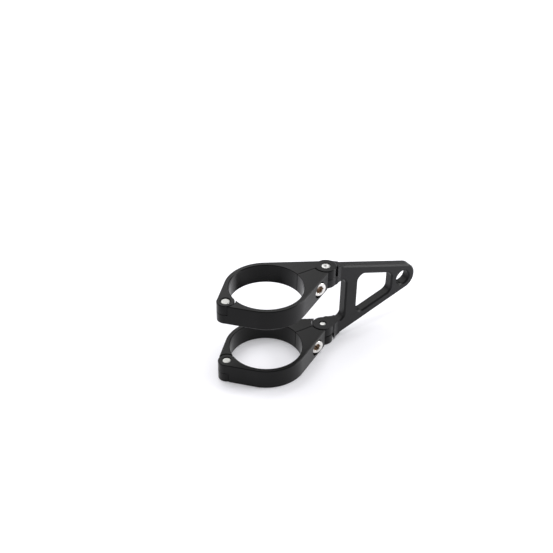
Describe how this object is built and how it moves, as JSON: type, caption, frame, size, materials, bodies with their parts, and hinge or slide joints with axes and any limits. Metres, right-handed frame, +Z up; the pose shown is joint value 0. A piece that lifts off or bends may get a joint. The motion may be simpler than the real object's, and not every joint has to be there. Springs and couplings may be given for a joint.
{
  "type": "headlight mounting bracket",
  "caption": "Bracket that holds a headlight beside a motorcycle fork leg: split ring clamps with hinged jaws and a swinging arm with a window and a bolt hole.",
  "frame": {"origin": "on the axis of the fork leg, in the lower face of the lower clamp", "axes": "+Z up along the fork leg, +X from the fork leg towards the arm's hinge, +Y towards the fixed halves of the clamps"},
  "size_m": [0.162, 0.0568, 0.0636],
  "materials": {
    "anodised_aluminium": "satin black anodised",
    "steel_pin": "ground and polished",
    "steel_screw": "bright, slightly warm"
  },
  "bodies": {
    "lower_clamp": {"lower_clamp_body": "anodised_aluminium", "lower_jaw_pin": "steel_pin"},
    "lower_jaw": {"lower_clamp_jaw": "anodised_aluminium"},
    "lower_screw": {"lower_clamp_screw": "steel_screw"},
    "arm": {"arm": "anodised_aluminium", "lower_hinge_screw": "steel_pin", "upper_hinge_screw": "steel_pin"},
    "upper_clamp": {"upper_clamp_body": "anodised_aluminium", "upper_jaw_pin": "steel_pin"},
    "upper_jaw": {"upper_clamp_jaw": "anodised_aluminium"},
    "upper_screw": {"upper_clamp_screw": "steel_screw"}
  },
  "joints": [
    {"name": "arm_swing", "type": "hinge", "parent": "lower_clamp", "child": "arm", "pos_m": [0.0474, 0, 0.0318], "axis": [0, 0, 1], "range_deg": [-60, 60]},
    {"name": "upper_clamp_swing", "type": "hinge", "parent": "arm", "child": "upper_clamp", "pos_m": [0.0474, 0, 0.0318], "axis": [0, 0, 1], "range_deg": [-60, 60]},
    {"name": "lower_jaw_open", "type": "hinge", "parent": "lower_clamp", "child": "lower_jaw", "pos_m": [-0.031, 0, 0.00715], "axis": [0, 0, -1], "range_deg": [0, 1.5]},
    {"name": "lower_screw_travel", "type": "slide", "parent": "lower_clamp", "child": "lower_screw", "axis": [0, -1, 0], "range_m": [0, 0.00185]},
    {"name": "upper_jaw_open", "type": "hinge", "parent": "upper_clamp", "child": "upper_jaw", "pos_m": [-0.031, 0, 0.05645], "axis": [0, 0, -1], "range_deg": [0, 1.5]},
    {"name": "upper_screw_travel", "type": "slide", "parent": "upper_clamp", "child": "upper_screw", "axis": [0, -1, 0], "range_m": [0, 0.00185]}
  ],
  "couplings": [
    {"joint": "lower_screw_travel", "follows": "lower_jaw_open", "m_per_rad": 0.07},
    {"joint": "upper_screw_travel", "follows": "upper_jaw_open", "m_per_rad": 0.07}
  ]
}
